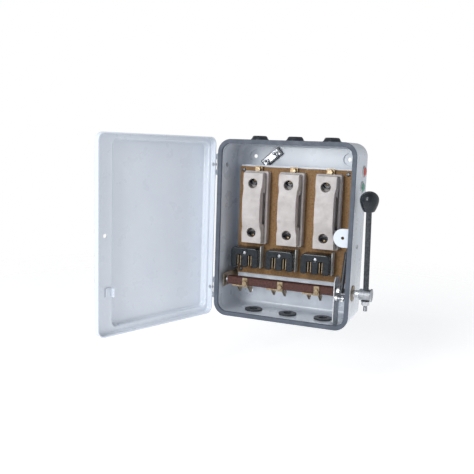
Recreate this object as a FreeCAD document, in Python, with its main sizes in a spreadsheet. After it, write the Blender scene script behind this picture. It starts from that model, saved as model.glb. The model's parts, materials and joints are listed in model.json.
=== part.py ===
import FreeCAD, Part
import math
import os

import Sketcher
from FreeCAD import Placement, Rotation, Vector

os.makedirs("parts", exist_ok=True)

# A sheet-steel fused disconnect box with three poles.  Millimetres, +X to the right of somebody who
# faces the box, +Z up and +Y into the wall.  The origin is the middle of the wall plane, behind the box.
# The box hangs open as it stands: lid swung out to the left, handle up, blades out of their jaws.

DRIVING_SIZES = {
    # enclosure
    "box_width": 226.0,
    "box_height": 290.0,
    "box_depth": 93.0,
    "sheet_steel": 1.6,
    "corner_radius": 22.0,
    "back_radius": 10.0,
    "standoff": 3.0,
    "lip_width": 6.0,
    "gasket_width": 7.0,
    "gasket_proud": 2.0,
    "gasket_tail": 2.2,
    "mount_span_wide": 164.0,
    "mount_span_tall": 236.0,
    "mount_hole_radius": 3.25,
    "dimple_radius": 11.5,
    # cable bushes
    "pole_pitch": 61.0,
    "bush_depth": 42.0,
    "bush_bore": 7.0,
    "bush_neck": 11.5,
    "bush_flange": 15.0,
    "bush_height": 7.0,
    # lid
    "lid_half_width": 115.5,
    "lid_half_height": 147.6,
    "lid_front": 97.2,
    "lid_rim": 86.2,
    "lid_fold_radius": 3.4,
    "lid_corner_radius": 12.0,
    "lid_panel_rise": 11.0,
    "lid_panel_left": 110.0,
    "lid_panel_right": 84.5,
    "lid_panel_half_height": 139.0,
    "lid_panel_corner": 10.0,
    "lid_open_angle": 110.5,
    "hinge_offset": 116.8,
    "hinge_depth": 80.5,
    "hinge_height": 103.0,
    "knuckle_radius": 3.2,
    "hinge_pin_radius": 2.0,
    "running_gap": 0.05,
    "hinge_half": 17.0,
    "knuckle_half": 8.0,
    # tray, board and fuses
    "tray_front": 32.0,
    "tray_half_width": 96.0,
    "tray_top": 104.0,
    "tray_bottom": 89.0,
    "board_thickness": 5.0,
    "board_half_width": 95.0,
    "board_top": 101.0,
    "board_bottom": 81.0,
    "fuse_middle": 34.0,
    "base_half_width": 21.0,
    "base_half_length": 60.5,
    "base_front": 52.0,
    "trough_floor": 44.0,
    "carrier_half_width": 17.0,
    "carrier_half_length": 58.0,
    "carrier_gap": 0.3,
    "carrier_end_front": 67.0,
    "carrier_front": 74.0,
    "grip_half_width": 11.5,
    "waist_half_width": 15.4,
    "grip_half_length": 27.0,
    "hole_half_span": 40.5,
    "hole_radius": 7.8,
    "blade_half_span": 46.0,
    "blade_thickness": 2.0,
    # switch poles
    "shield_shift": 13.0,
    "shield_half_width": 24.0,
    "shield_top": 34.0,
    "shield_bottom": 67.0,
    "shield_front": 63.0,
    "slot_half_width": 3.8,
    "slot_top": 46.0,
    "contact_half_span": 9.5,
    # operating gear
    "gear_depth": 71.0,
    "gear_height": 88.0,
    "shaft_radius": 6.0,
    "bar_half": 6.5,
    "bar_left": 97.0,
    "bar_right": 84.0,
    "contact_reach": 31.0,
    "contact_thickness": 3.0,
    "contact_rest_angle": 40.0,
    "crank_reach": 17.0,
    "crank_rest_angle": 24.0,
    "crank_left": 90.0,
    "crank_thickness": 4.0,
    "spring_plane": 98.0,
    "spring_radius": 3.5,
    "anchor_depth": 56.0,
    "anchor_height": 17.0,
    "lever_plane": 134.0,
    "lever_tilt": 7.0,
    "lever_radius": 4.3,
    "lever_length": 148.0,
    "hub_radius": 9.0,
    "hub_half_length": 10.0,
    "knob_radius": 14.25,
    "knob_half_height": 15.5,
}

document = FreeCAD.newDocument("DisconnectBox")
sheet = document.addObject("Spreadsheet::Sheet", "Sizes")
for row_number, (alias, number) in enumerate(DRIVING_SIZES.items(), start=1):
    sheet.set("A%d" % row_number, alias)
    sheet.set("B%d" % row_number, str(number))
    sheet.setAlias("B%d" % row_number, alias)
document.recompute()


class Size(float):
    """A number that remembers its spreadsheet formula, so that what is made from it stays bound."""

    def __new__(cls, number, text):
        made = super().__new__(cls, number)
        made.text = text
        return made

    def __add__(self, other):
        return Size(float(self) + float(other), "(%s + %s)" % (self.text, text_of(other)))

    def __radd__(self, other):
        return Size(float(other) + float(self), "(%s + %s)" % (text_of(other), self.text))

    def __sub__(self, other):
        return Size(float(self) - float(other), "(%s - %s)" % (self.text, text_of(other)))

    def __rsub__(self, other):
        return Size(float(other) - float(self), "(%s - %s)" % (text_of(other), self.text))

    def __mul__(self, other):
        return Size(float(self) * float(other), "(%s * %s)" % (self.text, text_of(other)))

    def __rmul__(self, other):
        return Size(float(other) * float(self), "(%s * %s)" % (text_of(other), self.text))

    def __truediv__(self, other):
        return Size(float(self) / float(other), "(%s / %s)" % (self.text, text_of(other)))

    def __neg__(self):
        return Size(-float(self), "(0 - %s)" % self.text)


def text_of(number):
    return number.text if isinstance(number, Size) else repr(float(number))


def size(alias):
    return Size(sheet.get(alias), "Sizes." + alias)


def bind(thing, place, number):
    """Binds a property to the formula of a size, or sets it where the number is a plain one."""
    thing.setExpression(place, text_of(number))


nodes = []


def node(thing, name):
    """Marks a finished sub-part: its label is the name of its file."""
    thing.Label = name
    nodes.append(thing)
    return thing


# ---------------------------------------------------------------- sketches and PartDesign features

def new_body(name):
    return document.addObject("PartDesign::Body", "Body_" + name)


def sketch_on(body, plane_role, offset=0.0):
    """A sketch on one of the body's own origin planes, moved along that plane's normal.

    The normals are +Z for XY_Plane, -Y for XZ_Plane and +X for YZ_Plane.
    """
    plane = next(p for p in body.Origin.OriginFeatures if p.Role == plane_role)
    sketch = body.newObject("Sketcher::SketchObject", "Sketch")
    sketch.AttachmentSupport = [(plane, "")]
    sketch.MapMode = "FlatFace"
    bind(sketch, "AttachmentOffset.Base.z", offset)
    return sketch


def pin_point(sketch, geometry, position, across, up):
    """Fixes a sketch point at its distances from the sketch origin."""
    for kind, number in (("DistanceX", across), ("DistanceY", up)):
        fixed = sketch.addConstraint(
            Sketcher.Constraint(kind, -1, 1, geometry, position, float(number)))
        if isinstance(number, Size):
            sketch.setExpression("Constraints[%d]" % fixed, number.text)


def set_radius(sketch, geometry, radius):
    fixed = sketch.addConstraint(Sketcher.Constraint("Radius", geometry, float(radius)))
    if isinstance(radius, Size):
        sketch.setExpression("Constraints[%d]" % fixed, radius.text)


def polygon(sketch, points):
    first = sketch.GeometryCount
    corners = [Vector(float(x), float(y), 0) for x, y in points]
    for number, corner in enumerate(corners):
        following = corners[(number + 1) % len(corners)]
        sketch.addGeometry(Part.LineSegment(corner, following), False)
    for number, (across, up) in enumerate(points):
        following = (number + 1) % len(points)
        sketch.addConstraint(Sketcher.Constraint("Coincident", first + number, 2, first + following, 1))
        pin_point(sketch, first + number, 1, across, up)


def rectangle(sketch, left, bottom, right, top):
    polygon(sketch, [(left, bottom), (right, bottom), (right, top), (left, top)])


def circle(sketch, across, up, radius):
    centre = Vector(float(across), float(up), 0)
    made = sketch.addGeometry(Part.Circle(centre, Vector(0, 0, 1), float(radius)), False)
    pin_point(sketch, made, 3, across, up)
    set_radius(sketch, made, radius)


def rounded_rectangle(sketch, left, bottom, right, top, radius):
    """Four arcs joined by four tangent lines, anticlockwise from the lower right corner."""
    first = sketch.GeometryCount
    centres = [(right - radius, bottom + radius), (right - radius, top - radius),
               (left + radius, top - radius), (left + radius, bottom + radius)]
    for turn, (across, up) in enumerate(centres):
        round_corner = Part.Circle(Vector(float(across), float(up), 0), Vector(0, 0, 1), float(radius))
        start = math.pi / 2 * (turn - 1)
        arc = sketch.addGeometry(Part.ArcOfCircle(round_corner, start, start + math.pi / 2), False)
        pin_point(sketch, arc, 3, across, up)
        set_radius(sketch, arc, radius)
    for turn in range(4):
        arc = first + turn
        following = first + (turn + 1) % 4
        start = sketch.getPoint(arc, 2)
        finish = sketch.getPoint(following, 1)
        line = sketch.addGeometry(Part.LineSegment(start, finish), False)
        sketch.addConstraint(Sketcher.Constraint("Tangent", arc, 2, line, 1))
        sketch.addConstraint(Sketcher.Constraint("Tangent", line, 2, following, 1))


def pad(body, sketch, length, backwards=False):
    """Adds material along the sketch's normal, or against it."""
    made = body.newObject("PartDesign::Pad", "Pad")
    made.Profile = sketch
    bind(made, "Length", length)
    made.Reversed = backwards
    sketch.Visibility = False
    document.recompute()
    return made


def pocket(body, sketch, length, along_normal=False):
    """Takes material away against the sketch's normal, or along it; it has to remove something."""
    before = body.Tip.Shape.Volume
    made = body.newObject("PartDesign::Pocket", "Pocket")
    made.Profile = sketch
    bind(made, "Length", length)
    made.Reversed = along_normal
    sketch.Visibility = False
    document.recompute()
    if made.Shape.Volume > before - 0.01:
        raise RuntimeError("a pocket of %s removed nothing" % body.Name)
    return made


def revolve(body, sketch):
    """Turns the sketch about its own upright axis."""
    made = body.newObject("PartDesign::Revolution", "Revolution")
    made.Profile = sketch
    made.ReferenceAxis = (sketch, ["V_Axis"])
    made.Angle = 360.0
    sketch.Visibility = False
    document.recompute()
    return made


def edges_where(shape, test):
    return ["Edge%d" % (number + 1) for number, edge in enumerate(shape.Edges) if test(edge)]


def runs_along(direction):
    """A test for straight edges that are parallel to a direction."""
    def test(edge):
        if edge.Curve.TypeId != "Part::GeomLine":
            return False
        return abs(edge.tangentAt(edge.FirstParameter).dot(direction)) > 0.999
    return test


def lies_at(axis, place):
    """A test for edges or faces that lie in the plane where a coordinate has a value."""
    def test(edge):
        box = edge.BoundBox
        low = getattr(box, axis + "Min")
        high = getattr(box, axis + "Max")
        return abs(low - place) < 0.01 and abs(high - place) < 0.01
    return test


def both(first, second):
    return lambda edge: first(edge) and second(edge)


def fillet(body, radius, test, kind="Fillet"):
    """Rounds, or with Chamfer bevels, the edges of the body's tip that pass a test."""
    tip = body.Tip
    chosen = edges_where(tip.Shape, test)
    made = body.newObject("PartDesign::" + kind, kind)
    made.Base = (tip, chosen)
    bind(made, "Radius" if kind == "Fillet" else "Size", radius)
    document.recompute()
    return made


def hollow(body, wall, face_test):
    """Leaves a wall of even thickness inside the outer shape, open at the chosen face."""
    tip = body.Tip
    faces = ["Face%d" % (n + 1) for n, face in enumerate(tip.Shape.Faces) if face_test(face)]
    made = body.newObject("PartDesign::Thickness", "Thickness")
    made.Base = (tip, faces)
    bind(made, "Value", wall)
    made.Reversed = True
    document.recompute()
    return made


# ---------------------------------------------------------------- primitives and booleans

AXIS_TURNS = {
    "X": Rotation(Vector(0, 1, 0), 90),
    "Y": Rotation(Vector(1, 0, 0), -90),
    "Z": Rotation(),
}


def block(low, high):
    made = document.addObject("Part::Box", "Block")
    for side, letter, first, last in zip(("Length", "Width", "Height"), "xyz", low, high):
        bind(made, side, last - first)
        bind(made, "Placement.Base." + letter, first)
    return made


def stick(axis, radius, start, length):
    """A cylinder that starts at a point and runs along +X, +Y or +Z."""
    made = document.addObject("Part::Cylinder", "Stick")
    made.Placement = Placement(Vector(), AXIS_TURNS[axis])
    bind(made, "Radius", radius)
    bind(made, "Height", length)
    for letter, number in zip("xyz", start):
        bind(made, "Placement.Base." + letter, number)
    return made


def ring(axis, radius, wire_radius, centre):
    made = document.addObject("Part::Torus", "Ring")
    made.Placement = Placement(Vector(), AXIS_TURNS[axis])
    bind(made, "Radius1", radius)
    bind(made, "Radius2", wire_radius)
    for letter, number in zip("xyz", centre):
        bind(made, "Placement.Base." + letter, number)
    return made


def hexagon(axis, across_flats, start, length):
    """A six-sided prism for a nut or a bolt head."""
    made = document.addObject("Part::Prism", "Hexagon")
    made.Placement = Placement(Vector(), AXIS_TURNS[axis])
    made.Polygon = 6
    bind(made, "Circumradius", across_flats / math.sqrt(3.0))
    bind(made, "Height", length)
    for letter, number in zip("xyz", start):
        bind(made, "Placement.Base." + letter, number)
    return made


def fused(*pieces):
    made = document.addObject("Part::MultiFuse", "Fused")
    made.Shapes = list(pieces)
    made.Refine = True
    return made


def cut(piece, *tools):
    made = document.addObject("Part::Cut", "Cut")
    made.Base = piece
    made.Tool = tools[0] if len(tools) == 1 else fused(*tools)
    made.Refine = True
    return made


def set_of(pieces):
    """Identical pieces that share one node but stay separate solids."""
    made = document.addObject("Part::Compound", "Set")
    made.Links = list(pieces)
    return made


def turned(profile, placement):
    """A turned piece: points of radius and height, revolved about local Z, then placed."""
    body = new_body("turned")
    sketch = sketch_on(body, "XZ_Plane")
    polygon(sketch, profile)
    revolve(body, sketch)
    body.Placement = placement
    return body


def swung(piece, point, direction, angle):
    """Turns a finished piece about a line; one whose place is bound to formulas is wrapped first."""
    if any(place.lstrip(".").startswith("Placement") for place, _ in piece.ExpressionEngine):
        piece = set_of([piece])
    turn = Placement(Vector(), Rotation(direction, float(angle)), point)
    piece.Placement = turn.multiply(piece.Placement)
    return piece


# ---------------------------------------------------------------- places that several pieces share

half_width = size("box_width") / 2
half_height = size("box_height") / 2
depth = size("box_depth")
steel = size("sheet_steel")
standoff = size("standoff")
inner_wall = half_width - steel
back_inside = standoff + steel
gear_y = -size("gear_depth")
gear_z = -size("gear_height")
board_front = size("tray_front") + size("board_thickness")
poles = (-1, 0, 1)
fuse_xs = [pole * size("pole_pitch") for pole in poles]
shield_xs = [x - size("shield_shift") for x in fuse_xs]
mount_points = [(side * size("mount_span_wide") / 2, level * size("mount_span_tall") / 2)
                for side in (-1, 1) for level in (-1, 1)]
marker_places = {"marker_red": (-38.0, 100.7), "marker_green": (-46.0, 76.6)}
catch_x = 97.0
hinge_levels = [-size("hinge_height"), size("hinge_height")]
rivet_y = -60.0
lid_rivet_y = -90.0


# ---------------------------------------------------------------- enclosure

def make_box_shell():
    """A drawn pan: round corners, pressed feet against the wall, and a turned-in front lip."""
    body = new_body("box_shell")
    outline = sketch_on(body, "XZ_Plane", standoff)
    rounded_rectangle(outline, -half_width, -half_height, half_width, half_height, size("corner_radius"))
    pad(body, outline, depth - standoff)
    fillet(body, size("back_radius"), lies_at("Y", -float(standoff)))
    hollow(body, steel, lies_at("Y", -float(depth)))
    lip = sketch_on(body, "XZ_Plane", depth)
    middle = steel / 2
    rounded_rectangle(lip, middle - half_width, middle - half_height, half_width - middle,
                      half_height - middle, size("corner_radius") - middle)
    inset = size("lip_width")
    rounded_rectangle(lip, inset - half_width, inset - half_height, half_width - inset,
                      half_height - inset, size("corner_radius") - inset)
    pad(body, lip, steel, backwards=True)

    feet = sketch_on(body, "XZ_Plane")
    for x, z in mount_points:
        circle(feet, x, z, size("dimple_radius"))
    pad(body, feet, standoff + steel / 2)
    fillet(body, 1.2, lies_at("Y", 0.0))
    recesses = sketch_on(body, "XZ_Plane", back_inside + 1)
    for x, z in mount_points:
        circle(recesses, x, z, size("dimple_radius") - steel)
    pocket(body, recesses, standoff + 1)
    holes = sketch_on(body, "XZ_Plane", back_inside)
    for x, z in mount_points:
        circle(holes, x, z, size("mount_hole_radius"))
    pocket(body, holes, back_inside + 1)

    for level, along_normal in ((half_height - 4, True), (4 - half_height, False)):
        cable_holes = sketch_on(body, "XY_Plane", level)
        for x in fuse_xs:
            circle(cable_holes, x, -size("bush_depth"), size("bush_neck"))
        pocket(body, cable_holes, 8, along_normal)

    right_holes = sketch_on(body, "YZ_Plane", half_width - 4)
    circle(right_holes, gear_y, gear_z, 9)
    circle(right_holes, -size("anchor_depth"), -size("anchor_height"), 2.0)
    for y, z in marker_places.values():
        circle(right_holes, y, z, 3.0)
    pocket(body, right_holes, 8, along_normal=True)

    left_holes = sketch_on(body, "YZ_Plane", 4 - half_width)
    for z in hinge_levels:
        circle(left_holes, rivet_y, z, 2.0)
    pocket(body, left_holes, 8)
    return node(body, "box_shell")


def make_rim_gasket():
    """A rubber strip on the lip with a tail that hooks behind the lip's edge."""
    body = new_body("rim_gasket")
    face = sketch_on(body, "XZ_Plane", depth)
    inner = size("gasket_width")
    rounded_rectangle(face, -half_width, -half_height, half_width, half_height, size("corner_radius"))
    rounded_rectangle(face, inner - half_width, inner - half_height, half_width - inner,
                      half_height - inner, size("corner_radius") - inner)
    pad(body, face, size("gasket_proud"))
    fillet(body, 0.9, lies_at("Y", -float(depth + size("gasket_proud"))))
    tail = sketch_on(body, "XZ_Plane", depth - size("gasket_tail"))
    edge = size("lip_width")
    rounded_rectangle(tail, edge - half_width, edge - half_height, half_width - edge,
                      half_height - edge, size("corner_radius") - edge)
    rounded_rectangle(tail, inner - half_width, inner - half_height, half_width - inner,
                      half_height - inner, size("corner_radius") - inner)
    pad(body, tail, size("gasket_tail") + size("gasket_proud") / 2)
    return node(body, "rim_gasket")


def make_cable_bushes():
    """Rubber bushes: a raised cone outside, a neck in the sheet and a retaining flange inside."""
    bore = size("bush_bore")
    neck = size("bush_neck")
    flange = size("bush_flange")
    profile = [(bore, -steel - 2.5), (flange, -steel - 2.5), (flange, -steel), (neck, -steel),
               (neck, 0.0), (flange, 0.0), (flange, 1.6), (neck, size("bush_height")),
               (bore, size("bush_height"))]
    for name, upward in (("top_cable_bushes", 1), ("bottom_cable_bushes", -1)):
        turn = Rotation() if upward == 1 else Rotation(Vector(1, 0, 0), 180)
        bushes = [turned(profile, Placement(Vector(x, -size("bush_depth"), upward * half_height), turn))
                  for x in fuse_xs]
        node(set_of(bushes), name)


def make_markers():
    """Domed coloured studs on the right wall, each held by its stem and a push-on washer."""
    for name, (y, z) in marker_places.items():
        head = stick("X", 9.5, (half_width, y, z), 2.2)
        dome = document.addObject("Part::Cone", "Dome")
        dome.Radius1 = 9.5
        dome.Radius2 = 5.0
        dome.Height = 2.4
        dome.Placement = Placement(Vector(half_width + 2.2, y, z), AXIS_TURNS["X"])
        stem = stick("X", 3.0, (inner_wall - 3, y, z), steel + 3)
        washer = stick("X", 6.0, (inner_wall - 1.2, y, z), 1.2)
        node(fused(head, dome, stem, washer), name)


def make_shaft_bush():
    """The brass bearing for the operating shaft: outside flange, sleeve and inside locknut."""
    flange = stick("X", 12.5, (half_width, gear_y, gear_z), 1.5)
    sleeve = stick("X", 9.0, (half_width - 10, gear_y, gear_z), 10)
    locknut = hexagon("X", 24.0, (inner_wall - 5, gear_y, gear_z), 5)
    bore = stick("X", size("shaft_radius") + size("running_gap"),
                 (half_width - 11, gear_y, gear_z), 14)
    return node(cut(fused(flange, sleeve, locknut), bore), "shaft_bush")


def make_lid_catch():
    """A D-shaped lug inside the right wall; the lid's fixing screw goes into its eye."""
    catch_radius = 14.4
    front = -90.0
    face = stick("Y", catch_radius, (catch_x, front, 0), steel)
    web = block((catch_x, front, -catch_radius), (inner_wall, front + steel, catch_radius))
    flange = block((inner_wall - steel, front, -catch_radius), (inner_wall, front + 20, catch_radius))
    eye = stick("Y", 2.5, (catch_x, front - 1, 0), 5)
    return node(cut(fused(face, web, flange), eye), "lid_catch")


def make_box_hinges():
    """Box halves of the two hinges, their pins and the rivets through the left wall."""
    leaves = []
    pins = []
    rivets = []
    axis_x = -size("hinge_offset")
    axis_y = -size("hinge_depth")
    wall = -half_width
    for level in hinge_levels:
        bottom = level - size("knuckle_half")
        knuckle = stick("Z", size("knuckle_radius"), (axis_x, axis_y, bottom), 2 * size("knuckle_half"))
        arm = block((axis_x - 1.5, axis_y + 2.8, bottom), (wall - 3.4, axis_y + 5.2, bottom + 16))
        bridge = block((wall - 3.6, axis_y + 3.6, bottom), (wall, axis_y + 5.2, bottom + 16))
        plate = block((wall - steel, axis_y + 4, level - size("hinge_half")),
                      (wall, -42.0, level + size("hinge_half")))
        pin_hole = stick("Z", size("hinge_pin_radius"), (axis_x, axis_y, bottom - 1), 18)
        rivet_hole = stick("X", 2.0, (wall - 3, rivet_y, level), 5)
        leaves.append(cut(fused(knuckle, arm, bridge, plate), pin_hole, rivet_hole))
        shank = stick("Z", size("hinge_pin_radius"), (axis_x, axis_y, level - size("hinge_half")),
                      2 * size("hinge_half"))
        cap = stick("Z", 3.0, (axis_x, axis_y, level + size("hinge_half") + 0.1), 1.2)
        neck = stick("Z", size("hinge_pin_radius"), (axis_x, axis_y, level + size("hinge_half")), 0.2)
        pins.append(fused(shank, neck, cap))
        outer_head = stick("X", 3.5, (wall - steel - 1.4, rivet_y, level), 1.4)
        rivet_shank = stick("X", 2.0, (wall - steel - 1.4, rivet_y, level), 2 * steel + 2.6)
        inner_head = stick("X", 3.6, (wall + steel, rivet_y, level), 1.3)
        rivets.append(fused(outer_head, rivet_shank, inner_head))
    node(set_of(leaves), "box_hinge_leaves")
    node(set_of(pins), "hinge_pins")
    node(set_of(rivets), "box_hinge_rivets")


# ---------------------------------------------------------------- lid, made shut and then swung open

hinge_point = Vector(-size("hinge_offset"), -size("hinge_depth"), 0)
open_turn = -size("lid_open_angle")
up = Vector(0, 0, 1)


def make_lid_shell():
    """A shallow cap: a short lip all round, a flat margin on it and a middle pressed outwards."""
    body = new_body("lid_shell")
    margin_y = -float(size("lid_front"))
    panel_y = margin_y - float(size("lid_panel_rise"))
    outline = sketch_on(body, "XZ_Plane", size("lid_rim"))
    rounded_rectangle(outline, -size("lid_half_width"), -size("lid_half_height"), size("lid_half_width"),
                      size("lid_half_height"), size("lid_corner_radius"))
    pad(body, outline, size("lid_front") - size("lid_rim"))
    fillet(body, size("lid_fold_radius"), lies_at("Y", margin_y))
    panel = sketch_on(body, "XZ_Plane", size("lid_front"))
    rounded_rectangle(panel, -size("lid_panel_left"), -size("lid_panel_half_height"),
                      size("lid_panel_right"), size("lid_panel_half_height"), size("lid_panel_corner"))
    pad(body, panel, size("lid_panel_rise"))
    fillet(body, 4.0, lies_at("Y", panel_y))
    fillet(body, 1.5, both(lies_at("Y", margin_y), on_the_panel))
    hollow(body, steel, lies_at("Y", -float(size("lid_rim"))))
    screw_hole = sketch_on(body, "XZ_Plane", size("lid_front") - 4)
    circle(screw_hole, catch_x, 0, 3.2)
    pocket(body, screw_hole, 6, along_normal=True)
    rivet_holes = sketch_on(body, "YZ_Plane", 8 - size("lid_half_width"))
    for z in hinge_levels:
        circle(rivet_holes, lid_rivet_y, z, 2.0)
    pocket(body, rivet_holes, 10)
    swung(body, hinge_point, up, open_turn)
    return node(body, "lid_shell")


def on_the_panel(edge):
    """True for an edge that belongs to the outline of the lid's raised middle."""
    box = edge.BoundBox
    slack = 0.1
    right_of_start = box.XMin > -float(size("lid_panel_left")) - slack
    left_of_end = box.XMax < float(size("lid_panel_right")) + slack
    low_enough = max(-box.ZMin, box.ZMax) < float(size("lid_panel_half_height")) + slack
    return right_of_start and left_of_end and low_enough


def make_lid_interlock():
    """An angle on the margin's inner face whose tab comes down beside the operating gear."""
    seat = -size("lid_front") + steel
    foot = block((86.5, seat, -90.0), (97.0, seat + steel, -77.0))
    tab = block((86.5, seat, -90.0), (86.5 + steel, -86.0, -77.0))
    swung(node(fused(foot, tab), "lid_interlock"), hinge_point, up, open_turn)


def make_lid_hinges():
    """Lid halves of the hinges and their rivets."""
    leaves = []
    rivets = []
    axis_x = -size("hinge_offset")
    axis_y = -size("hinge_depth")
    skin = -size("lid_half_width")
    clearance = 0.3
    for level in hinge_levels:
        inner = size("knuckle_half") + clearance
        length = size("hinge_half") - inner
        upper = stick("Z", size("knuckle_radius"), (axis_x, axis_y, level + inner), length)
        lower = stick("Z", size("knuckle_radius"), (axis_x, axis_y, level - size("hinge_half")), length)
        strap = block((skin - steel, -93.4, level - size("hinge_half")),
                      (skin, axis_y + 1, level + size("hinge_half")))
        window = block((skin - 4, axis_y - 7, level - inner), (skin + 1, axis_y + 3, level + inner))
        pin_hole = stick("Z", size("hinge_pin_radius") + size("running_gap"),
                         (axis_x, axis_y, level - size("hinge_half") - 1), 2 * size("hinge_half") + 2)
        rivet_hole = stick("X", 2.0, (skin - 3, lid_rivet_y, level), 5)
        leaves.append(cut(fused(upper, lower, strap), window, pin_hole, rivet_hole))
        outer_head = stick("X", 3.0, (skin - steel - 1.3, lid_rivet_y, level), 1.3)
        shank = stick("X", 2.0, (skin - steel - 1.3, lid_rivet_y, level), 2 * steel + 1.9)
        inner_head = stick("X", 3.0, (skin + steel, lid_rivet_y, level), 0.6)
        rivets.append(fused(outer_head, shank, inner_head))
    for pieces, name in ((leaves, "lid_hinge_leaves"), (rivets, "lid_hinge_rivets")):
        swung(node(set_of(pieces), name), hinge_point, up, open_turn)


# ---------------------------------------------------------------- tray, board and fuse bases

def make_mounting_tray():
    """A folded steel channel that carries the base board clear of the back wall."""
    body = new_body("mounting_tray")
    outline = sketch_on(body, "XY_Plane", -size("tray_bottom"))
    side = size("tray_half_width")
    foot = 8.0
    front = -size("tray_front")
    back = -back_inside
    polygon(outline, [(-side + foot, back), (-side, back), (-side, front), (side, front), (side, back),
                      (side - foot, back), (side - foot, back - steel), (side - steel, back - steel),
                      (side - steel, front + steel), (steel - side, front + steel),
                      (steel - side, back - steel), (foot - side, back - steel)])
    pad(body, outline, size("tray_bottom") + size("tray_top"))
    return node(body, "mounting_tray")


screw_places = [(side * 89.0, level) for side in (-1, 1) for level in (95.0, -75.0)]


def make_base_board():
    """The laminate board with clearance holes for its four corner screws."""
    body = new_body("base_board")
    outline = sketch_on(body, "XZ_Plane", size("tray_front"))
    side = size("board_half_width")
    rectangle(outline, -side, -size("board_bottom"), side, size("board_top"))
    pad(body, outline, size("board_thickness"))
    holes = sketch_on(body, "XZ_Plane", board_front)
    for x, z in screw_places:
        circle(holes, x, z, 2.0)
    pocket(body, holes, size("board_thickness") + 1)
    return node(body, "base_board")


def make_board_screws():
    screws = []
    for x, z in screw_places:
        head = stick("Y", 3.5, (x, -board_front - 2.2, z), 2.2)
        shank = stick("Y", 2.0, (x, -board_front - 1, z), size("board_thickness") + 1)
        slot = block((x - 4, -board_front - 3.0, z - 0.5), (x + 4, -board_front - 1.3, z + 0.5))
        screws.append(cut(fused(head, shank), slot))
    node(set_of(screws), "board_screws")


clip_half_width = 8.0
clip_half_length = 7.5
clip_pocket_floor = 39.0
blade_levels = [size("fuse_middle") + side * size("blade_half_span") for side in (-1, 1)]


def make_fuse_base(number, x):
    """A porcelain base: two raised ends with clip pockets and a trough for the fuse wire."""
    body = new_body("fuse_base")
    side = size("base_half_width")
    bottom = size("fuse_middle") - size("base_half_length")
    top = size("fuse_middle") + size("base_half_length")
    outline = sketch_on(body, "XZ_Plane", board_front)
    rectangle(outline, x - side, bottom, x + side, top)
    pad(body, outline, size("base_front") - board_front)
    fillet(body, 2.5, runs_along(Vector(0, 1, 0)))
    fillet(body, 1.5, lies_at("Y", -float(size("base_front"))))
    trough = sketch_on(body, "XZ_Plane", size("base_front"))
    rectangle(trough, x - side + 4, bottom + 28, x + side - 4, top - 28)
    pocket(body, trough, size("base_front") - size("trough_floor"))
    clip_pockets = sketch_on(body, "XZ_Plane", size("base_front"))
    for z in blade_levels:
        rectangle(clip_pockets, x - clip_half_width, z - clip_half_length,
                  x + clip_half_width, z + clip_half_length)
    pocket(body, clip_pockets, size("base_front") - clip_pocket_floor)
    terminal_slot = sketch_on(body, "XZ_Plane", size("base_front") - 4)
    rectangle(terminal_slot, x - 7, blade_levels[1] + clip_half_length, x + 7, top + 1)
    pocket(body, terminal_slot, size("base_front") - 4 - clip_pocket_floor)
    return node(body, "fuse_base_%d" % number)


def make_fuse_clips(number, x):
    """Two spring clips, each a foot with a pair of leaves that grip a carrier blade."""
    clips = []
    leaf = 1.2
    gap = size("blade_thickness") / 2 + 0.1
    floor = -clip_pocket_floor
    for z in blade_levels:
        foot = block((x - 6, floor - 1.5, z - 7), (x + 6, floor, z + 7))
        left = block((x - gap - leaf, floor - 11.5, z - 6), (x - gap, floor - 1, z + 6))
        right = block((x + gap, floor - 11.5, z - 6), (x + gap + leaf, floor - 1, z + 6))
        clips.append(fused(foot, left, right))
    node(set_of(clips), "fuse_clips_%d" % number)


def make_line_terminals():
    """Brass terminal tongues at the top of the bases, each with its clamping screw."""
    terminals = []
    start = blade_levels[1] + clip_half_length
    finish = size("fuse_middle") + size("base_half_length") + 8
    for x in fuse_xs:
        tongue = block((x - 6.5, -clip_pocket_floor - 3, start), (x + 6.5, -clip_pocket_floor, finish))
        washer = stick("Y", 5.0, (x, -clip_pocket_floor - 4.2, finish - 5.5), 1.4)
        head = hexagon("Y", 8.0, (x, -clip_pocket_floor - 8.2, finish - 5.5), 4.2)
        terminals.append(fused(tongue, washer, head))
    node(set_of(terminals), "line_terminals")


# ---------------------------------------------------------------- fuse carriers, which pull straight out

def make_fuse_carrier(number, x):
    """A porcelain bridge: thick ends with finger holes, a slight waist and a side window under it."""
    body = new_body("fuse_carrier")
    middle = size("fuse_middle")
    long = size("carrier_half_length")
    back = size("base_front") + size("carrier_gap")
    ends = size("carrier_end_front")
    crown = size("carrier_front")
    wide = size("carrier_half_width")
    grip = size("grip_half_width")
    waist = size("grip_half_length")
    profile = sketch_on(body, "YZ_Plane", x - wide)
    polygon(profile, [(-back, middle - long), (-back, middle + long), (-ends, middle + long),
                      (-ends - 2, middle + long - 22), (-crown, middle + 16), (-crown, middle - 16),
                      (-ends - 2, middle - long + 22), (-ends, middle - long)])
    pad(body, profile, 2 * wide)
    scoops = sketch_on(body, "XZ_Plane", back + 6)
    for side in (-1, 1):
        outside = x + side * (wide + 1)
        inside = x + side * size("waist_half_width")
        polygon(scoops, [(outside, middle - waist - 18), (outside, middle + waist + 18),
                         (inside, middle + waist + 4), (inside, middle - waist - 4)])
    pocket(body, scoops, 30, along_normal=True)
    windows = sketch_on(body, "XZ_Plane", back - 1)
    for side in (-1, 1):
        left, right = sorted((x + side * grip, x + side * (wide + 1)))
        rectangle(windows, left, middle - waist, right, middle + waist - 2)
    pocket(body, windows, 8, along_normal=True)
    underside = sketch_on(body, "XZ_Plane", back)
    rectangle(underside, x - 8, middle - waist - 4, x + 8, middle + waist + 4)
    pocket(body, underside, 10, along_normal=True)
    holes = sketch_on(body, "XZ_Plane", crown + 1)
    for level in (-1, 1):
        circle(holes, x, middle + level * size("hole_half_span"), size("hole_radius"))
    pocket(body, holes, crown + 1 - back - 4)
    return node(body, "fuse_carrier_%d" % number)


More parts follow.
